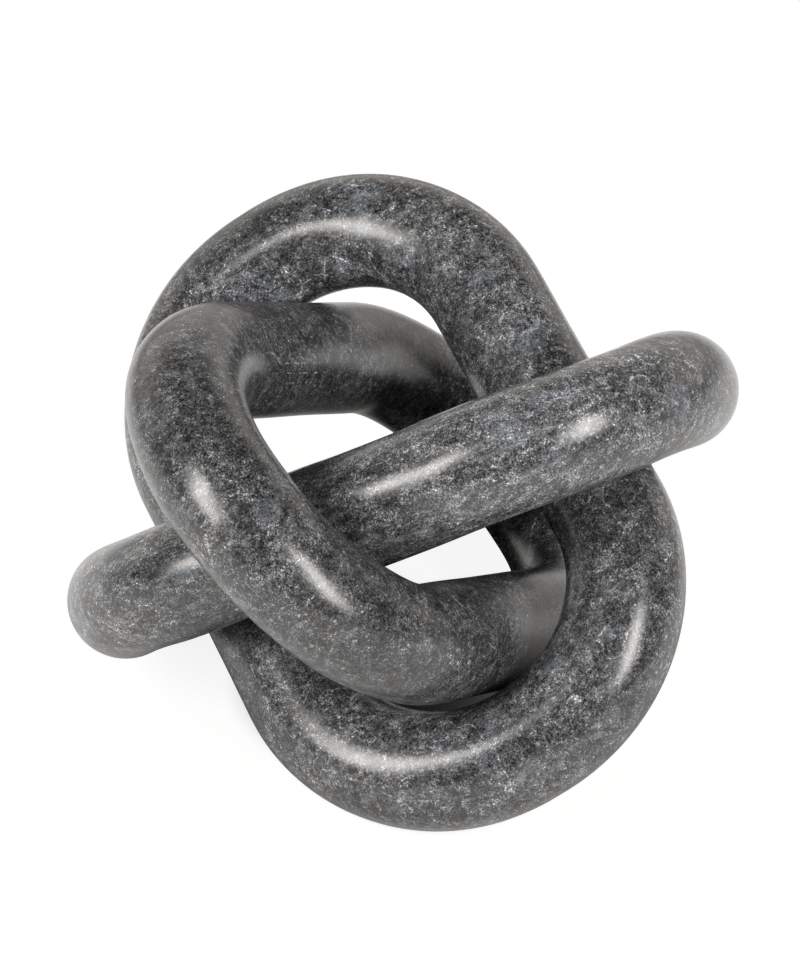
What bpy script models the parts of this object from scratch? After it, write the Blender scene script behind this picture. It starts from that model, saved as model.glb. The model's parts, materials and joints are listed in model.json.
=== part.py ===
"""Three loose marble links, nested through each other and standing on a table.

Each link is one closed oval ring of round stone. Every link passes crosswise through the
hole of the next, so no two of them are joined but the three hold each other. At rest the
nest stands on one end of each link.

Metres, +Z up. The origin is on the table under the middle of the nest, and the photographed
side faces -Y.
"""

import math

import bmesh
import bpy
import numpy as np
from mathutils import Euler, Vector

COLLECTION_NAME = "marble_chain_sculpture"

# Driving dimensions of a link
TUBE_DIAMETER = 0.035       # the round stone that a link is made of
HOLE_WIDTH = 0.070          # clear width across a link's hole
END_STRAIGHT = 0.003        # short straight stretch across each end of a link
NEST_PLAY = 0.0032          # slack at each end of a hole, beside the neighbour's two long sides

# Fits
CONTACT_GAP = 0.00045       # between two links where they lean on each other
FOOT_FLAT_DEPTH = 0.0005    # how deep the resting flat is ground into each link's lowest point

# The square nest, with the three links at right angles to each other, standing on three ends
FIRST_HEADING = -62.0       # degrees from +X to the front link's foot
SQUARE_DIP = math.degrees(math.asin(1 / math.sqrt(3)))
SQUARE_ROLL = 45.0

# How the links lie once their own weight has slumped the nest, in degrees: where the foot
# points, how far the long axis dips towards it, and how far the link is rolled about that axis.
# The shift is where the link's middle lies from the nest's axis, in metres.
SLUMPED_LINKS = (
    {"name": "front_link", "heading": FIRST_HEADING, "dip": 25.4, "roll": 34.4,
     "shift": (-0.0006, 0.0020)},
    {"name": "left_link", "heading": 59.3, "dip": 25.7, "roll": 35.0,
     "shift": (-0.0031, 0.0000)},
    {"name": "cross_link", "heading": 170.2, "dip": 28.9, "roll": 25.6,
     "shift": (0.0000, 0.0009)},
)
LINK_COUNT = len(SLUMPED_LINKS)
HEADING_STEP = 360.0 / LINK_COUNT
MOST_LEAN = 2.0             # the search for the resting lean goes from the square nest to here

# Grey of each link's stone, linear, and its polish
STONE_COLOURS = {
    "front_link": (0.120, 0.121, 0.124),
    "left_link": (0.108, 0.108, 0.110),
    "cross_link": (0.126, 0.127, 0.129),
}
STONE_ROUGHNESS = 0.42

# Mesh fineness
ARC_STEPS = 12              # points in each quarter turn of a link
TUBE_RESOLUTION = 8         # bevel resolution, which gives 20 sides round the stone
CLEARANCE_STEPS = 40        # points in each quarter turn when clearances are measured
SETTLE_ROUNDS = 24          # halvings of the search for the resting lean
MERGE_DISTANCE = 0.00001

# Worked out from the sizes above
TUBE_RADIUS = TUBE_DIAMETER / 2
HALF_WIDTH = HOLE_WIDTH / 2 + TUBE_RADIUS
HALF_LENGTH = HALF_WIDTH + 2 * TUBE_RADIUS + NEST_PLAY
CORNER_RADIUS = HALF_WIDTH - END_STRAIGHT / 2


def clear_scene():
    for obj in list(bpy.data.objects):
        bpy.data.objects.remove(obj, do_unlink=True)


def new_collection(name):
    collection = bpy.data.collections.new(name)
    bpy.context.scene.collection.children.link(collection)
    return collection


def link_centre_line(arc_steps, run_steps=1):
    """Points of a link's centre line, flat in XY with its long axis along X."""
    corner_x = HALF_LENGTH - CORNER_RADIUS
    corner_y = HALF_WIDTH - CORNER_RADIUS
    points = []
    for turn, (side_x, side_y) in enumerate(((1, 1), (-1, 1), (-1, -1), (1, -1))):
        for step in range(arc_steps + 1):
            angle = math.pi / 2 * (turn + step / arc_steps)
            points.append((
                side_x * corner_x + CORNER_RADIUS * math.cos(angle),
                side_y * corner_y + CORNER_RADIUS * math.sin(angle),
                0.0,
            ))
        # Two of the four runs between the arcs are long sides, the other two are link ends
        if turn % 2 == 0:
            start = np.array(points[-1])
            for step in range(1, run_steps):
                points.append(tuple(start - (2 * corner_x * side_x * step / run_steps, 0, 0)))
    return points


def placement(slumped, order, lean):
    """A link's centre and rotation, from the square nest at lean 0 to the slumped one at 1."""
    square_heading = FIRST_HEADING + order * HEADING_STEP
    heading = math.radians(square_heading + lean * (slumped["heading"] - square_heading))
    dip = math.radians(SQUARE_DIP + lean * (slumped["dip"] - SQUARE_DIP))
    roll = math.radians(SQUARE_ROLL + lean * (slumped["roll"] - SQUARE_ROLL))
    # How far the centre line reaches below the link's centre
    along = math.sin(dip)
    across = math.sin(roll) * math.cos(dip)
    reach = (
        (HALF_LENGTH - CORNER_RADIUS) * along
        + (HALF_WIDTH - CORNER_RADIUS) * across
        + CORNER_RADIUS * math.hypot(along, across)
    )
    height = reach + TUBE_RADIUS - FOOT_FLAT_DEPTH
    centre = Vector((lean * slumped["shift"][0], lean * slumped["shift"][1], height))
    return centre, Euler((roll, dip, heading), "XYZ")


def nest_clearance(lean):
    """The least gap between two links' surfaces, at this lean."""
    flat = np.array(link_centre_line(CLEARANCE_STEPS, CLEARANCE_STEPS))
    lines = []
    for order, slumped in enumerate(SLUMPED_LINKS):
        centre, rotation = placement(slumped, order, lean)
        lines.append(flat @ np.array(rotation.to_matrix()).T + np.array(centre))
    least = math.inf
    for one in range(LINK_COUNT):
        for other in range(one + 1, LINK_COUNT):
            apart = np.linalg.norm(lines[one][:, None] - lines[other][None], axis=2)
            least = min(least, apart.min())
    return least - TUBE_DIAMETER


def resting_lean():
    """The links slump from the square nest until they are a contact gap from each other."""
    clear, touching = 0.0, MOST_LEAN
    for _ in range(SETTLE_ROUNDS):
        middle = (clear + touching) / 2
        if nest_clearance(middle) > CONTACT_GAP:
            clear = middle
        else:
            touching = middle
    return clear


def stone_material(name, colour):
    material = bpy.data.materials.new(name + "_marble")
    material.use_nodes = True
    shader = material.node_tree.nodes["Principled BSDF"]
    shader.inputs["Base Color"].default_value = (*colour, 1.0)
    shader.inputs["Roughness"].default_value = STONE_ROUGHNESS
    shader.inputs["Metallic"].default_value = 0.0
    material.diffuse_color = (*colour, 1.0)
    return material


def table_cutter(collection):
    """A block whose top is the table: what it cuts off leaves each link's resting flat."""
    size = 4 * HALF_LENGTH
    bpy.ops.mesh.primitive_cube_add(size=size, location=(0, 0, -size / 2))
    cutter = bpy.context.object
    cutter.name = "table_cutter"
    for owner in list(cutter.users_collection):
        owner.objects.unlink(cutter)
    collection.objects.link(cutter)
    cutter.hide_render = True
    cutter.display_type = "WIRE"
    return cutter


def link_mesh(name):
    """The ring of stone as a mesh, made by sweeping the round section along the centre line."""
    curve = bpy.data.curves.new(name + "_line", "CURVE")
    curve.dimensions = "3D"
    curve.bevel_depth = TUBE_RADIUS
    curve.bevel_resolution = TUBE_RESOLUTION
    spline = curve.splines.new("POLY")
    points = link_centre_line(ARC_STEPS)
    spline.points.add(len(points) - 1)
    for point, position in zip(spline.points, points):
        point.co = (*position, 1.0)
    spline.use_cyclic_u = True
    guide = bpy.data.objects.new(name + "_guide", curve)
    bpy.context.scene.collection.objects.link(guide)
    evaluated = guide.evaluated_get(bpy.context.evaluated_depsgraph_get())
    mesh = bpy.data.meshes.new_from_object(evaluated)
    bpy.data.objects.remove(guide, do_unlink=True)
    bpy.data.curves.remove(curve)

    shape = bmesh.new()
    shape.from_mesh(mesh)
    bmesh.ops.remove_doubles(shape, verts=shape.verts, dist=MERGE_DISTANCE)
    bmesh.ops.recalc_face_normals(shape, faces=shape.faces)
    shape.to_mesh(mesh)
    shape.free()
    mesh.shade_smooth()
    mesh.name = name
    return mesh


def make_link(slumped, order, lean, cutter, collection):
    """One link, with its origin at its middle, where it rocks."""
    name = slumped["name"]
    mesh = link_mesh(name)
    mesh.materials.clear()
    mesh.materials.append(stone_material(name, STONE_COLOURS[name]))
    link = bpy.data.objects.new(name, mesh)
    collection.objects.link(link)
    link.location, link.rotation_euler = placement(slumped, order, lean)
    foot = link.modifiers.new("foot_flat", "BOOLEAN")
    foot.operation = "DIFFERENCE"
    foot.solver = "EXACT"
    foot.object = cutter
    return link


def main():
    clear_scene()
    parts = new_collection(COLLECTION_NAME)
    cutters = new_collection("cutters")
    cutter = table_cutter(cutters)
    lean = resting_lean()
    for order, slumped in enumerate(SLUMPED_LINKS):
        make_link(slumped, order, lean, cutter, parts)
    print("lean of the resting nest:", round(lean, 4))
    print("gap where the links lean on each other, mm:", round(nest_clearance(lean) * 1000, 3))


main()
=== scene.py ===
"""The looks of the marble chain sculpture: three nested links of polished dark grey marble."""

import json
import math

import bmesh
import bpy
import numpy as np
from mathutils import Matrix, Quaternion, Vector


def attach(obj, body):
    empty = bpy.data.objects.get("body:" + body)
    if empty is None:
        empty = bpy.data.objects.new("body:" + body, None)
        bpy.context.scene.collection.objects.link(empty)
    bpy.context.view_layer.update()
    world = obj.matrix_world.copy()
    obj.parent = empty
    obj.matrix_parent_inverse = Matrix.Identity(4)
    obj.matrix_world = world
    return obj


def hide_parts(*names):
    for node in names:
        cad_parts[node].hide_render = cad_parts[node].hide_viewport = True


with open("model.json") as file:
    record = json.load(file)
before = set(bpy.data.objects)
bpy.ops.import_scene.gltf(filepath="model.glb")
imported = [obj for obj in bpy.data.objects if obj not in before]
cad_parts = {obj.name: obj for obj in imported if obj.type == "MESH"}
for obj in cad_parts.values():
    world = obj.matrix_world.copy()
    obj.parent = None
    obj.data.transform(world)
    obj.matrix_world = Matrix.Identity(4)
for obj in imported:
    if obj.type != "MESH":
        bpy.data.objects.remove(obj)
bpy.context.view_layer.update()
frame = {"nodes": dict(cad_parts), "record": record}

# The camera stands where the photograph was taken from
CAMERA_PLACE = Vector((-0.00078, -0.90549, 0.63906))
CAMERA_AIM = Vector((0.00043, 0.00161, 0.07042))
SENSOR_WIDTH = 36.0         # mm, along the picture's long side
FOCAL_LENGTH = 132.5        # mm

# The two softboxes, found from where the highlights sit on the round stone and then tuned.
# Azimuth is counted from the camera's side towards +X, in degrees. Width and height are in metres.
SOFTBOXES = (
    {"name": "left_softbox", "azimuth": -55.0, "elevation": 30.0, "roll": -10.0,
     "width": 0.48, "height": 1.15, "radiance": 14.5},
    {"name": "right_softbox", "azimuth": 42.0, "elevation": 31.0, "roll": -10.0,
     "width": 0.46, "height": 0.95, "radiance": 17.0},
)
SOFTBOX_DISTANCE = 2.0      # m, from the camera's aim
SOFTBOX_COLOUR = (1.0, 0.965, 0.93)

# The room: a white backdrop low down behind the object, and dim everywhere else
BACKDROP_RADIANCE = 0.90
ROOM_RADIANCE = 0.022
BACKDROP_SIDES = (0.00, 0.42)       # along +Y, of a direction one unit long
BACKDROP_TOP = (0.34, 0.70)         # along +Z, of a direction one unit long
BACKDROP_COLOUR = (1.0, 0.95, 0.89, 1.0)

# The floor is white paper, set separately for what the camera sees, for what a reflection
# shows and for its light on the object: a share that takes shadow and a glow that doesn't.
# The dim middle stands for the shade under the nest. It isn't computed shadow.
FLOOR_SIZE = 12.0                       # m, along each side
FLOOR_SEGMENTS = 4
FLOOR_SEEN = {"albedo": 0.30, "glow": 0.88}
FLOOR_MIRRORED = {"albedo": 1.00, "glow": 0.55}
FLOOR_LIGHTING = {"albedo": 0.70, "glow": 0.0}
FLOOR_DIM_MIDDLE = (0.010, 0.025, 0.0)
FLOOR_SEEN_ENDS = (0.030, 0.055)        # m, between which the seen glow rises from nothing
FLOOR_MIRRORED_ENDS = (0.062, 0.104)    # m, the same for the mirrored floor
FLOOR_GLOW_ENDS = (0.095, 0.165)        # m, the same for the mirrored glow
FLOOR_LIGHTING_ENDS = (0.080, 0.130)    # m, the same for the floor as a light
FLOOR_FAR_ENDS = (0.45, 1.00)           # m, between which the mirrored glow dies away again
FLOOR_SHADE_ENDS = (0.35, 0.75)         # m, between which the shaded floor turns plain white

# Mesh of a link
LINE_STEPS = 384            # rings of points along a link
ROUND_STEPS = 84            # points round the stone
END_STRAIGHT = 0.003        # short straight stretch across each end of a link
HAND_WORK_WAVES = 9
HAND_WORK_TURNS = (1, 12)   # waves along a link, the second number left out
HAND_WORK_LOBES = (0, 4)    # waves round the stone, the second number left out

# The marble's marks: how wide each kind is, in metres, the shape of its noise, and what is added
# to a link's seed for it
CLOUDS = {"size": 0.030, "offset": 0.0, "detail": 2.0, "roughness": 0.5, "distortion": 0.5}
PATCHES = {"size": 0.0080, "offset": 0.1, "detail": 2.0, "roughness": 0.55, "distortion": 1.2}
MOTTLE = {"size": 0.0027, "offset": 0.2, "detail": 2.0, "roughness": 0.60, "distortion": 1.0}
FLECKS = {"size": 0.00050, "offset": 0.3, "detail": 2.0, "roughness": 0.85, "distortion": 0.4}
PITS = {"size": 0.00056, "offset": 0.4, "detail": 2.0, "roughness": 0.85, "distortion": 0.4}
MILK = {"size": 0.010, "offset": 0.5, "detail": 2.0, "roughness": 0.5, "distortion": 1.6}
TINTS = {"size": 0.020, "offset": 0.6, "detail": 1.0, "roughness": 0.5, "distortion": 0.0}
STRANDS = {"size": 0.0016, "offset": 0.7, "detail": 2.0, "roughness": 0.6, "distortion": 1.0}
VEINS = {"size": 0.040, "offset": 0.8, "detail": 3.0, "roughness": 0.5, "distortion": 0.6}
VEIN_PLACES = {"size": 0.030, "offset": 0.9, "detail": 0.0, "roughness": 0.5, "distortion": 0.0}
GRAIN_SIZE = 0.00085        # m, cells of unlike brightness
GRAIN_BEND = 0.00060        # m, how far noise bends the edges of all cells
CRYSTAL_SIZE = 0.0021       # m, cells that the larger crystals and the rust specks are picked from
NOISE_MIDDLE = 0.5          # a noise field runs from 0 to 1 round this

# Between which values of its field each mark comes in, and how far from the middle a line reaches
FLECK_ENDS = (0.45, 0.68)
PIT_ENDS = (0.54, 0.34)
MILK_ENDS = (0.50, 0.68)
TINT_ENDS = (0.40, 0.80)
VEIN_REACH = 0.007
VEIN_PLACE_ENDS = (0.52, 0.62)
STRAND_REACH = 0.05
STRAND_PLACE_ENDS = (0.42, 0.56)
STRAND_IN_DARK = 0.25       # share of a strand's strength where the mottle is dark
MILK_GRAIN = 0.60           # share of the grain's strength that is left in a milky patch
MOTTLE_ENDS = (0.36, 0.64)  # over these the flecks gain strength and the pits lose it
FLECK_SHARES = (0.45, 1.35)
PIT_SHARES = (1.25, 0.75)

# The larger crystals and the rust specks: what a cell's random number has to pass, between which
# distances from the cell's middle they end, in cell sizes, and how much they add to the stone
CRYSTAL_ABOVE = 0.987
RUST_ABOVE = 0.990
CRYSTAL_EDGE = (0.12, 0.40)
CRYSTAL_LIFT = 0.28
RUST_LIFT = 0.10

# How strongly each mark lightens or darkens the stone, as a power of e
CLOUD_SWING = 1.3
PATCH_SWING = 2.0
MOTTLE_SWING = 0.9
STRAND_LIFT = 0.7
FLECK_LIFT = 1.8
PIT_DROP = 2.3
GRAIN_SWING = 0.7
MILK_LIFT = 0.60
VEIN_LIFT = 0.9
TOOL_MARK_LIFT = 2.0

# Rows of short dashes inside the left link's bend, taken as tool marks, in the link's own frame
# and in metres. They fade over the reach from their middle, which is given in a space squeezed
# along the link. The rows lie across one direction. The noise that breaks them into dashes also
# makes them waver.
TOOL_MARKS = {
    "squeeze": (0.35, 1.0, 1.0), "middle": (-0.0074, 0.0385, 0.0100), "reach": (0.003, 0.0075),
    "across": (0.0, 0.63, 0.776), "spacing": 0.0030, "width": 0.00040, "waver": 0.0009,
    "dashes": {"size": 0.0016, "detail": 2.0, "roughness": 0.6, "distortion": 0.0},
    "dash_ends": (0.44, 0.60),
}

STONE_VALUE = 0.080                 # linear, before a link's tone and the marks
COOL_TINT = (0.930, 1.0, 1.100)     # where the stone is milky, and in wide patches elsewhere
WARM_TINT = (0.985, 1.0, 1.030)     # outside those
RUST_TINT = (1.16, 1.00, 0.84)      # at a rust speck
STONE_IOR = 1.58
POLISH_FLECK_ENDS = (0.3, 0.7)      # of the flecks' field, over which the roughness rises
POLISH_ROUGHNESS = (0.16, 0.25)
POLISH_DEPTH = 0.00004              # m, how far the flecks stand out of the polish

# The tones and the hand-work seeds were picked to suit the photograph. The photograph can't tell a
# link's own tone from the light on it, and other seeds suit it nearly as well.
LINKS = (
    {"node": "front_link", "seed": 3, "tone": 1.14, "stretch": (1.0, 1.25, 1.0),
     "hand_seed": 64, "hand_depth": 0.00035},
    {"node": "left_link", "seed": 11, "tone": 0.84, "stretch": (1.0, 1.0, 1.2),
     "hand_seed": 464, "hand_depth": 0.00060, "tool_marks": TOOL_MARKS},
    {"node": "cross_link", "seed": 23, "tone": 1.45, "stretch": (2.4, 1.0, 1.0),
     "hand_seed": 380, "hand_depth": 0.00060},
)


def link_frame(node):
    """Middle, axes and sizes of a link, measured on its CAD node."""
    mesh = frame["nodes"][node].data
    centres = np.empty(len(mesh.polygons) * 3)
    areas = np.empty(len(mesh.polygons))
    points = np.empty(len(mesh.vertices) * 3)
    mesh.polygons.foreach_get("center", centres)
    mesh.polygons.foreach_get("area", areas)
    mesh.vertices.foreach_get("co", points)
    centres = centres.reshape(-1, 3)
    points = points.reshape(-1, 3)
    middle = (centres * areas[:, None]).sum(0) / areas.sum()
    spread = (centres - middle).T @ ((centres - middle) * areas[:, None])
    normal, _, along = np.linalg.eigh(spread)[1].T
    if normal[2] < 0:
        normal = -normal
    if along[2] > 0:
        along = -along
    axes = np.array((along, np.cross(normal, along), normal)).T
    local = (points - middle) @ axes
    low, high = local.min(0), local.max(0)
    middle = middle + axes @ ((low + high) / 2)
    half_x, half_y, radius = (float(extent) / 2 for extent in high - low)
    return {
        "matrix": Matrix.Translation(middle) @ Matrix(axes).to_4x4(),
        "radius": radius,
        "half_length": half_x - radius,
        "half_width": half_y - radius,
    }


def centre_line(size, steps):
    """Points along a link's centre line and the outward direction at each, in the link's XY."""
    corner = size["half_width"] - END_STRAIGHT / 2
    corner_x = size["half_length"] - corner
    corner_y = size["half_width"] - corner
    arc = math.pi / 2 * corner
    # Each stretch is a run and then a quarter turn: length of run, outward heading, corner's side
    stretches = (
        (2 * corner_y, 0.0, (1, 1)), (2 * corner_x, 90.0, (-1, 1)),
        (2 * corner_y, 180.0, (-1, -1)), (2 * corner_x, 270.0, (1, -1)),
    )
    perimeter = 4 * corner_x + 4 * corner_y + 4 * arc
    points, outward = [], []
    for step in range(steps):
        place = perimeter * step / steps
        for run, heading, (side_x, side_y) in stretches:
            if place < run + arc:
                break
            place -= run + arc
        start = math.radians(heading)
        turned = start + max(0.0, place - run) / corner
        out = Vector((math.cos(turned), math.sin(turned), 0))
        back = Vector((math.sin(start), -math.cos(start), 0)) * max(0.0, run - place)
        middle = Vector((side_x * corner_x, side_y * corner_y, 0))
        points.append(middle + out * corner + back)
        outward.append(out)
    return points, outward


def hand_work(seed):
    """A smooth field round and along a link, from 0 to 1, as left by shaping stone by hand."""
    random = np.random.default_rng(seed)
    waves = [
        (random.integers(*HAND_WORK_TURNS), random.integers(*HAND_WORK_LOBES),
         random.uniform(0, 2 * math.pi, 2))
        for _ in range(HAND_WORK_WAVES)
    ]

    def depth(along, around):
        total = sum(
            math.cos(turns * along + phase[0]) * math.cos(lobes * around + phase[1])
            for turns, lobes, phase in waves
        )
        return 0.5 + 0.5 * math.tanh(total / math.sqrt(HAND_WORK_WAVES))

    return depth


def link_mesh(link, size):
    """The ring of round stone: a fine mesh, a little short of true round, with its foot flat."""
    points, outward = centre_line(size, LINE_STEPS)
    depth = hand_work(link["hand_seed"])
    shape = bmesh.new()
    rings = []
    for step, (point, out) in enumerate(zip(points, outward)):
        along = 2 * math.pi * step / LINE_STEPS
        ring = []
        for side in range(ROUND_STEPS):
            around = 2 * math.pi * side / ROUND_STEPS
            radius = size["radius"] - link["hand_depth"] * depth(along, around)
            place = point + radius * (math.cos(around) * out + math.sin(around) * Vector((0, 0, 1)))
            ring.append(shape.verts.new(place))
        rings.append(ring)
    for step in range(LINE_STEPS):
        here, there = rings[step], rings[(step + 1) % LINE_STEPS]
        for side in range(ROUND_STEPS):
            after = (side + 1) % ROUND_STEPS
            shape.faces.new((here[side], there[side], there[after], here[after]))
    shape.transform(size["matrix"])
    for face in shape.faces:
        face.smooth = True
    grind_foot(shape)
    bmesh.ops.recalc_face_normals(shape, faces=shape.faces)
    mesh = bpy.data.meshes.new(link["node"] + "_stone")
    shape.to_mesh(mesh)
    shape.free()
    return mesh


def grind_foot(shape):
    """Cuts the resting flat at the table's level, as the CAD solid has it."""
    cut = bmesh.ops.bisect_plane(
        shape, geom=shape.verts[:] + shape.edges[:] + shape.faces[:],
        plane_co=(0, 0, 0), plane_no=(0, 0, 1), clear_inner=True,
    )
    rim = [item for item in cut["geom_cut"] if isinstance(item, bmesh.types.BMEdge)]
    bmesh.ops.contextual_create(shape, geom=rim)
    for edge in rim:
        edge.smooth = False


class Graph:
    """Short calls for building a node tree."""

    def __init__(self, tree):
        self.tree = tree

    def node(self, kind, inputs=None, **settings):
        made = self.tree.nodes.new(kind)
        for key, value in settings.items():
            setattr(made, key, value)
        for key, value in (inputs or {}).items():
            self.feed(value, made.inputs[key])
        return made

    def feed(self, value, socket):
        if isinstance(value, bpy.types.NodeSocket):
            self.tree.links.new(value, socket)
        else:
            socket.default_value = value

    def math(self, operation, *values):
        made = self.node("ShaderNodeMath", operation=operation)
        for value, socket in zip(values, made.inputs):
            self.feed(value, socket)
        return made.outputs[0]

    def remap(self, value, low, high, to_low, to_high, smooth=False):
        made = self.node("ShaderNodeMapRange", {
            "Value": value, "From Min": low, "From Max": high, "To Min": to_low, "To Max": to_high,
        }, interpolation_type="SMOOTHSTEP" if smooth else "LINEAR")
        return made.outputs["Result"]

    def noise(self, place, mark, seed):
        made = self.node("ShaderNodeTexNoise", {
            "Vector": place, "W": float(seed), "Scale": 1 / mark["size"], "Detail": mark["detail"],
            "Roughness": mark["roughness"], "Distortion": mark["distortion"],
        }, noise_dimensions="4D")
        return made.outputs["Fac"]

    def cells(self, place, size):
        return self.node("ShaderNodeTexVoronoi", {
            "Vector": place, "Scale": 1 / size, "Randomness": 1.0,
        })

    def add(self, first, *others):
        for other in others:
            first = self.math("ADD", first, other)
        return first

    def mix(self, share, one, other):
        """Mixes two colours. Their sockets on the node come after those for numbers."""
        made = self.node("ShaderNodeMix", data_type="RGBA", blend_type="MIX")
        self.feed(share, made.inputs[0])
        self.feed(one, made.inputs[6])
        self.feed(other, made.inputs[7])
        return made.outputs[2]


def tool_marks(graph, placed, marks, seed):
    """Short dashes in a few straight rows, fading out round their middle."""
    squeezed = graph.node("ShaderNodeVectorMath", {
        0: placed, 1: marks["squeeze"]}, operation="MULTIPLY").outputs["Vector"]
    off_middle = graph.node("ShaderNodeVectorMath", {
        0: squeezed, 1: marks["middle"]}, operation="DISTANCE").outputs["Value"]
    near = graph.remap(off_middle, *marks["reach"], 1.0, 0.0, True)
    across = graph.node("ShaderNodeVectorMath", {
        0: placed, 1: marks["across"]}, operation="DOT_PRODUCT").outputs["Value"]
    dashes = graph.noise(placed, marks["dashes"], seed)
    across = graph.math("MULTIPLY_ADD", dashes, marks["waver"], across)
    off_row = graph.math("PINGPONG", across, marks["spacing"] / 2)
    row = graph.remap(off_row, 0.0, marks["width"], 1.0, 0.0, True)
    dash = graph.remap(dashes, *marks["dash_ends"], 0.0, 1.0, True)
    return graph.math("MULTIPLY", graph.math("MULTIPLY", row, dash), near)


def marble(link, size):
    """Dark grey marble: pale crystals in a darker ground, clouds, and a satin polish."""
    material = bpy.data.materials.new(link["node"] + "_stone")
    material.use_nodes = True
    graph = Graph(material.node_tree)
    shader = material.node_tree.nodes["Principled BSDF"]

    # The pattern lies in the link's own frame, so it moves with the link
    placed = graph.node("ShaderNodeMapping", {
        "Vector": graph.node("ShaderNodeTexCoord").outputs["Object"],
        "Location": size["matrix"].translation,
        "Rotation": size["matrix"].to_euler(),
    }, vector_type="TEXTURE").outputs["Vector"]
    drawn = graph.node("ShaderNodeMapping", {
        "Vector": placed, "Scale": link["stretch"]}, vector_type="TEXTURE").outputs["Vector"]

    def field(mark, place=drawn):
        return graph.noise(place, mark, link["seed"] + mark["offset"])

    def off_middle(value):
        return graph.math("ABSOLUTE", graph.math("SUBTRACT", value, NOISE_MIDDLE))

    def swing(value, strength):
        return graph.math("MULTIPLY", graph.math("SUBTRACT", value, NOISE_MIDDLE), strength)

    clouds, patches, mottle = field(CLOUDS), field(PATCHES), field(MOTTLE)
    fleck, pit = field(FLECKS, placed), field(PITS, placed)
    milk = graph.remap(field(MILK), *MILK_ENDS, 0.0, 1.0, True)
    grainy = graph.remap(milk, 0.0, 1.0, 1.0, MILK_GRAIN)
    strand = graph.remap(off_middle(field(STRANDS)), 0.0, STRAND_REACH, STRAND_LIFT, 0.0, True)
    strand = graph.math(
        "MULTIPLY", strand,
        graph.remap(mottle, *STRAND_PLACE_ENDS, STRAND_IN_DARK, 1.0, True))

    # Crystals of unlike brightness, the pale ones in clusters
    bend = graph.node("ShaderNodeTexNoise", {
        "Vector": placed, "W": float(link["seed"]), "Scale": 1 / GRAIN_SIZE, "Detail": 0.0,
    }, noise_dimensions="4D").outputs["Color"]
    bend = graph.node("ShaderNodeVectorMath", {
        0: bend, 1: (GRAIN_BEND,) * 3, 2: placed}, operation="MULTIPLY_ADD").outputs["Vector"]
    grain = graph.node("ShaderNodeSeparateColor", {
        "Color": graph.cells(bend, GRAIN_SIZE).outputs["Color"]}).outputs[0]
    pale = graph.math(
        "MULTIPLY", graph.remap(fleck, *FLECK_ENDS, 0.0, FLECK_LIFT),
        graph.remap(mottle, *MOTTLE_ENDS, *FLECK_SHARES))
    dark = graph.math(
        "MULTIPLY", graph.remap(pit, *PIT_ENDS, 0.0, PIT_DROP),
        graph.remap(mottle, *MOTTLE_ENDS, *PIT_SHARES))

    vein = graph.math(
        "MULTIPLY",
        graph.remap(off_middle(field(VEINS, placed)), 0.0, VEIN_REACH, VEIN_LIFT, 0.0, True),
        graph.remap(field(VEIN_PLACES, placed), *VEIN_PLACE_ENDS, 0.0, 1.0, True))

    # The power of e by which the marks lighten or darken the stone
    power = graph.math("SUBTRACT", graph.math("ADD", pale, strand), dark)
    power = graph.add(power, swing(grain, GRAIN_SWING), swing(mottle, MOTTLE_SWING))
    power = graph.math("MULTIPLY", power, grainy)
    power = graph.add(
        power, swing(clouds, CLOUD_SWING), swing(patches, PATCH_SWING),
        graph.math("MULTIPLY", milk, MILK_LIFT), vein)
    if "tool_marks" in link:
        rows = tool_marks(graph, placed, link["tool_marks"], link["seed"])
        power = graph.add(power, graph.math("MULTIPLY", rows, TOOL_MARK_LIFT))
    power = graph.add(power, math.log(STONE_VALUE * link["tone"]))
    value = graph.math("EXPONENT", power)

    # A few larger white crystals and specks of rust
    crystals = graph.cells(bend, CRYSTAL_SIZE)
    chance = graph.node("ShaderNodeSeparateColor", {"Color": crystals.outputs["Color"]}).outputs
    inside = graph.remap(crystals.outputs["Distance"], *CRYSTAL_EDGE, 1.0, 0.0, True)
    crystal = graph.math("MULTIPLY", graph.math("GREATER_THAN", chance[0], CRYSTAL_ABOVE), inside)
    rust = graph.math("MULTIPLY", graph.math("GREATER_THAN", chance[1], RUST_ABOVE), inside)
    value = graph.math("MULTIPLY_ADD", crystal, CRYSTAL_LIFT, value)
    value = graph.math("MULTIPLY_ADD", rust, RUST_LIFT, value)

    cool = graph.math("MAXIMUM", milk, graph.remap(field(TINTS), *TINT_ENDS, 0.0, 1.0))
    tint = graph.mix(cool, (*WARM_TINT, 1.0), (*COOL_TINT, 1.0))
    tint = graph.mix(rust, tint, (*RUST_TINT, 1.0))
    tinted = graph.node("ShaderNodeVectorMath", {0: tint, "Scale": value}, operation="SCALE")
    graph.feed(tinted.outputs["Vector"], shader.inputs["Base Color"])

    roughness = graph.remap(fleck, *POLISH_FLECK_ENDS, *POLISH_ROUGHNESS)
    graph.feed(roughness, shader.inputs["Roughness"])
    shader.inputs["IOR"].default_value = STONE_IOR

    bump = graph.node("ShaderNodeBump", {
        "Height": fleck, "Distance": POLISH_DEPTH, "Strength": 1.0,
    })
    graph.feed(bump.outputs["Normal"], shader.inputs["Normal"])
    return material


def make_link(link):
    name = link["node"]
    size = link_frame(name)
    mesh = link_mesh(link, size)
    mesh.materials.append(marble(link, size))
    piece = bpy.data.objects.new(name + "_stone", mesh)
    bpy.context.scene.collection.objects.link(piece)
    bodies = frame["record"]["behaviour"]["bodies"]
    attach(piece, next(body for body, nodes in bodies.items() if name in nodes))
    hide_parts(name)


def direction(azimuth, elevation):
    azimuth, elevation = math.radians(azimuth), math.radians(elevation)
    return Vector((
        math.sin(azimuth) * math.cos(elevation),
        -math.cos(azimuth) * math.cos(elevation),
        math.sin(elevation),
    ))


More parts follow.
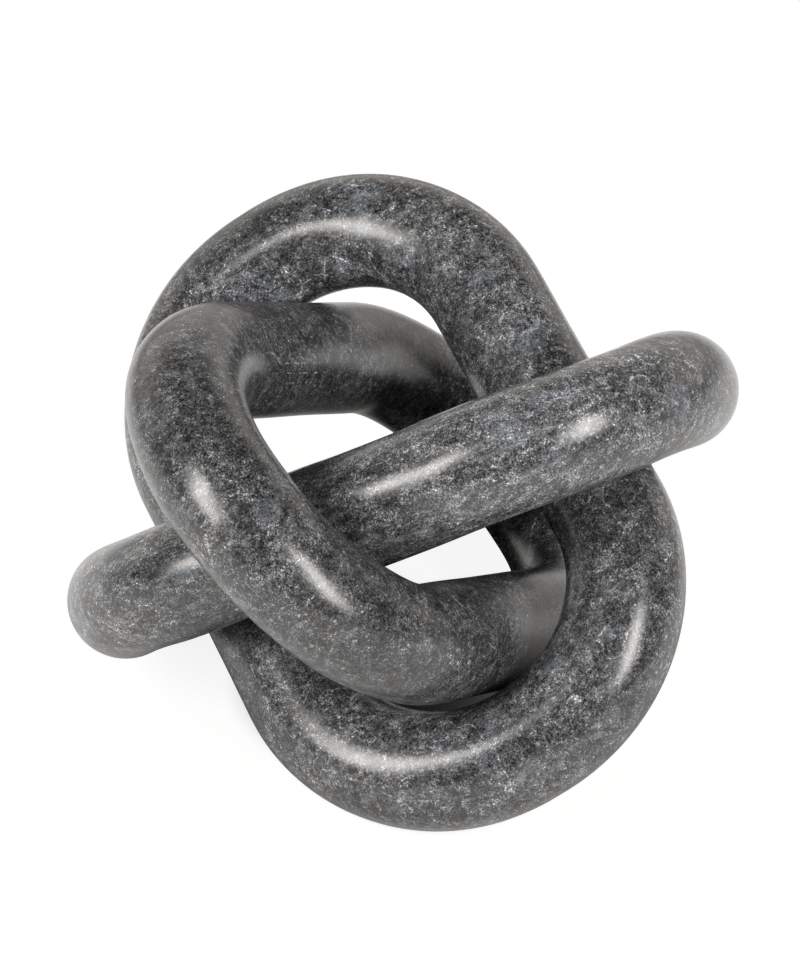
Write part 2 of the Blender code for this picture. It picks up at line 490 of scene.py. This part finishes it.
def make_softbox(box):
    lamp = bpy.data.lights.new(box["name"], "AREA")
    lamp.shape = "RECTANGLE"
    lamp.size = box["width"]
    lamp.size_y = box["height"]
    lamp.color = SOFTBOX_COLOUR
    # A flat lamp of power P and area A has the radiance P / (pi A)
    lamp.energy = box["radiance"] * math.pi * box["width"] * box["height"]
    placed = bpy.data.objects.new(box["name"], lamp)
    toward = direction(box["azimuth"], box["elevation"])
    placed.location = CAMERA_AIM + SOFTBOX_DISTANCE * toward
    roll = Quaternion((0, 0, 1), math.radians(box["roll"]))
    placed.rotation_euler = (toward.to_track_quat("Z", "Y") @ roll).to_euler()
    bpy.context.scene.collection.objects.link(placed)


def make_world():
    """The camera sees plain white. Reflections and light on the object see the room instead."""
    world = bpy.data.worlds.new("studio")
    world.use_nodes = True
    graph = Graph(world.node_tree)
    background = world.node_tree.nodes["Background"]
    toward = graph.node("ShaderNodeTexCoord").outputs["Generated"]
    toward = graph.node("ShaderNodeSeparateXYZ", {"Vector": toward})
    behind = graph.remap(toward.outputs["Y"], *BACKDROP_SIDES, 0.0, 1.0, True)
    below = graph.remap(toward.outputs["Z"], *BACKDROP_TOP, 1.0, 0.0, True)
    lit = graph.math("MULTIPLY", behind, below)
    room = graph.remap(lit, 0.0, 1.0, ROOM_RADIANCE, BACKDROP_RADIANCE)
    seen = graph.node("ShaderNodeLightPath").outputs["Is Camera Ray"]
    graph.feed(graph.math("MAXIMUM", seen, room), background.inputs["Strength"])
    colour = graph.mix(seen, BACKDROP_COLOUR, (1.0, 1.0, 1.0, 1.0))
    graph.feed(colour, background.inputs["Color"])
    bpy.context.scene.world = world


def grey(value):
    return (value, value, value, 1.0)


def paper(graph, albedo, glow):
    """A share that takes shadow and a glow that doesn't."""
    diffuse = graph.node("ShaderNodeBsdfDiffuse", {"Color": albedo})
    glow = graph.node("ShaderNodeEmission", {"Strength": glow})
    return graph.node("ShaderNodeAddShader", {0: diffuse.outputs[0], 1: glow.outputs[0]}).outputs[0]


def floor_material():
    """White paper, clean white to the camera apart from the object's shadow and a dim middle."""
    material = bpy.data.materials.new("paper_floor")
    material.use_nodes = True
    tree = material.node_tree
    graph = Graph(tree)
    tree.nodes.remove(tree.nodes["Principled BSDF"])
    place = graph.node("ShaderNodeTexCoord").outputs["Object"]
    reach = graph.node("ShaderNodeVectorMath", {0: place}, operation="LENGTH").outputs["Value"]
    far = graph.remap(reach, *FLOOR_SHADE_ENDS, 0.0, 1.0, True)
    white = graph.node("ShaderNodeEmission", {"Strength": 1.0})
    glow = graph.remap(reach, *FLOOR_SEEN_ENDS, 0.0, FLOOR_SEEN["glow"], True)
    seen = graph.node("ShaderNodeMixShader", {
        0: far, 1: paper(graph, grey(FLOOR_SEEN["albedo"]), glow), 2: white.outputs[0]})

    off_middle = graph.node("ShaderNodeVectorMath", {
        0: place, 1: FLOOR_DIM_MIDDLE}, operation="DISTANCE").outputs["Value"]
    glow = graph.math(
        "MULTIPLY", graph.remap(off_middle, *FLOOR_GLOW_ENDS, 0.0, FLOOR_MIRRORED["glow"], True),
        graph.remap(reach, *FLOOR_FAR_ENDS, 1.0, 0.0, True))
    albedo = graph.remap(off_middle, *FLOOR_MIRRORED_ENDS, 0.0, FLOOR_MIRRORED["albedo"], True)
    mirrored = paper(graph, albedo, glow)
    albedo = graph.remap(off_middle, *FLOOR_LIGHTING_ENDS, 0.0, FLOOR_LIGHTING["albedo"], True)
    ray = graph.node("ShaderNodeLightPath")
    lighting = graph.node("ShaderNodeMixShader", {
        0: ray.outputs["Is Glossy Ray"], 1: paper(graph, albedo, FLOOR_LIGHTING["glow"]),
        2: mirrored})
    either = graph.node("ShaderNodeMixShader", {
        0: ray.outputs["Is Camera Ray"], 1: lighting.outputs[0], 2: seen.outputs[0]})
    graph.feed(either.outputs[0], tree.nodes["Material Output"].inputs["Surface"])
    return material


def make_floor():
    shape = bmesh.new()
    bmesh.ops.create_grid(
        shape, x_segments=FLOOR_SEGMENTS, y_segments=FLOOR_SEGMENTS, size=FLOOR_SIZE / 2)
    mesh = bpy.data.meshes.new("paper_floor")
    shape.to_mesh(mesh)
    shape.free()
    mesh.materials.append(floor_material())
    floor = bpy.data.objects.new("paper_floor", mesh)
    bpy.context.scene.collection.objects.link(floor)


def make_camera():
    lens = bpy.data.cameras.new("camera")
    lens.sensor_width = SENSOR_WIDTH
    lens.lens = FOCAL_LENGTH
    camera = bpy.data.objects.new("camera", lens)
    camera.location = CAMERA_PLACE
    camera.rotation_euler = (CAMERA_AIM - CAMERA_PLACE).to_track_quat("-Z", "Y").to_euler()
    bpy.context.scene.collection.objects.link(camera)
    bpy.context.scene.camera = camera


for link in LINKS:
    make_link(link)
make_floor()
make_world()
for box in SOFTBOXES:
    make_softbox(box)
make_camera()
bpy.context.scene.view_settings.view_transform = "Standard"
